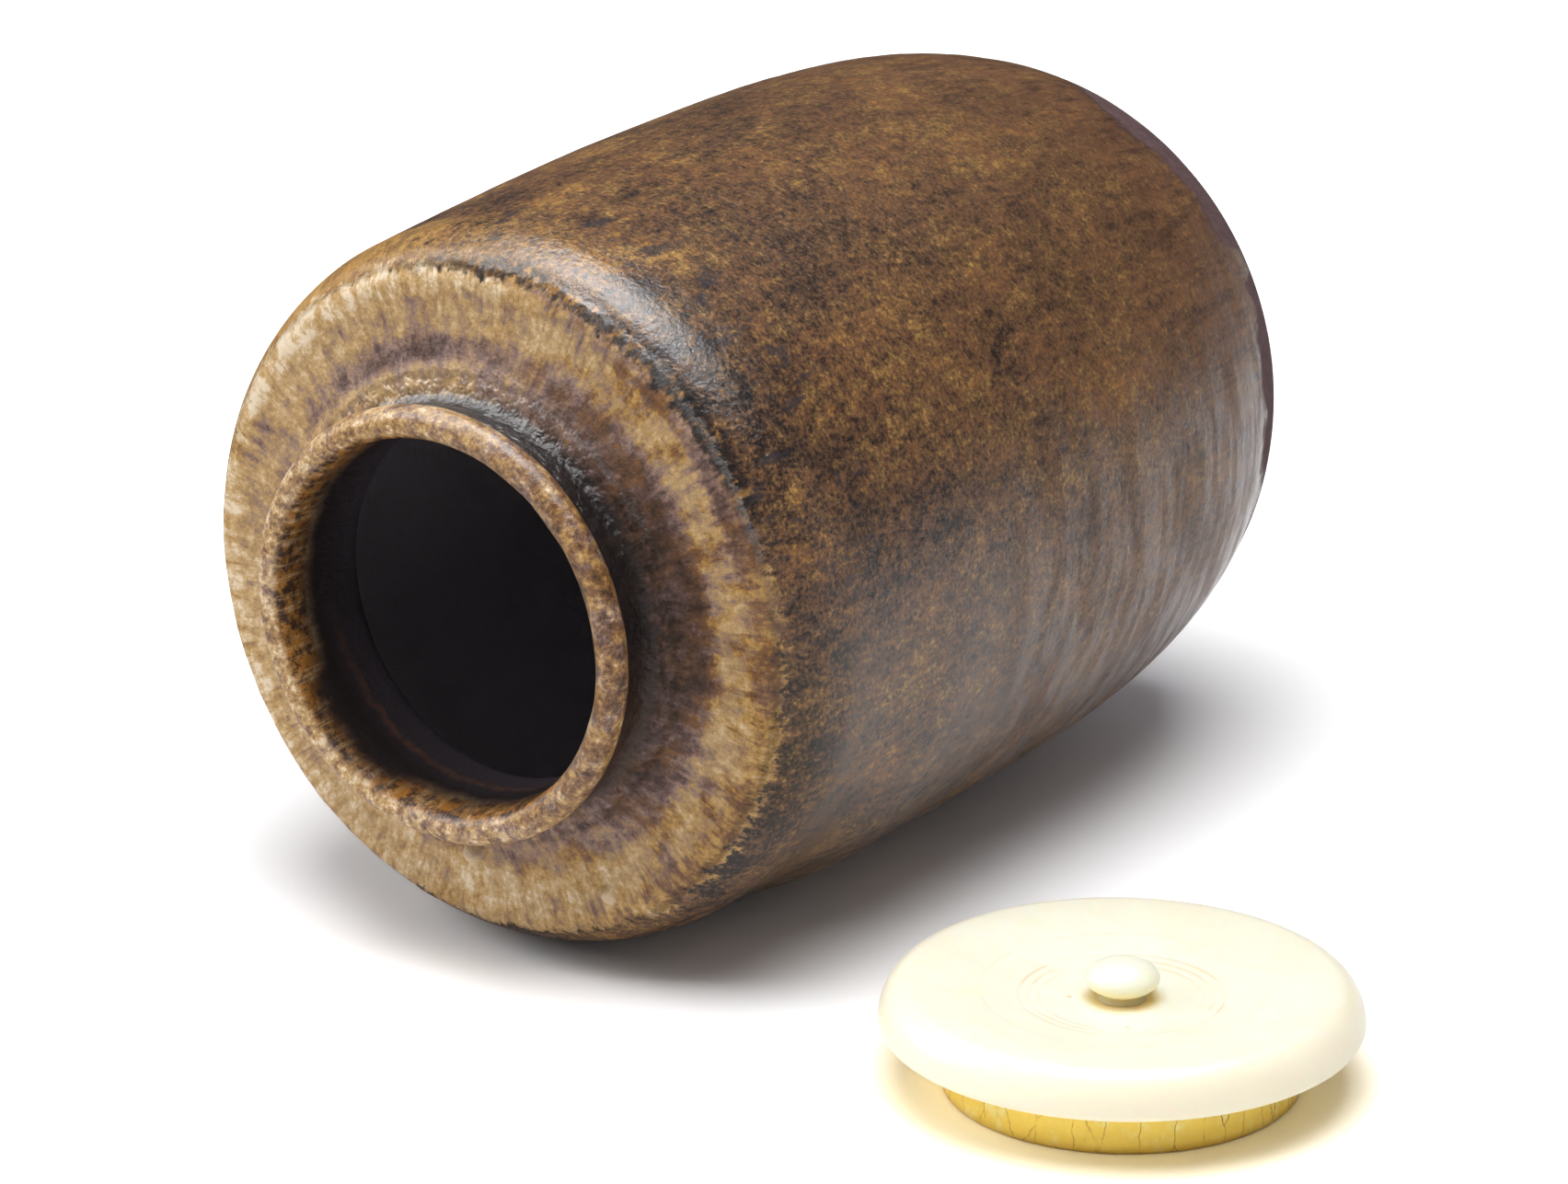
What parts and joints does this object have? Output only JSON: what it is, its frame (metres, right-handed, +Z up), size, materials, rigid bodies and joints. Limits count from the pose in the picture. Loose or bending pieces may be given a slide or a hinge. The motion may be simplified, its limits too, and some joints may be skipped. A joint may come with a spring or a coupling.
{
  "type": "chaire tea caddy",
  "caption": "Small glazed stoneware tea caddy with barrel body, short neck and rolled lip, lying on its side, with its flat ivory lid with button knob and gold-lined boss standing beside it.",
  "frame": {"origin": "on the table, under the middle of the box round the jar and the lid", "axes": "+Z up from the table, -Y along the jar's axis toward its mouth, +X toward the lid"},
  "size_m": [0.1026, 0.0914, 0.0605],
  "materials": {
    "stoneware_glaze": "gloss",
    "ivory": "satin",
    "gold_leaf": "satin"
  },
  "bodies": {
    "jar": {"jar_body": "stoneware_glaze"},
    "lid": {"lid_disc": "ivory", "lid_knob": "ivory", "lid_lining": "gold_leaf"}
  },
  "joints": [
    {"name": "lid_lift", "type": "slide", "parent": "jar", "child": "lid", "axis": [0, 0, 1], "range_m": [0, 0.065]}
  ]
}
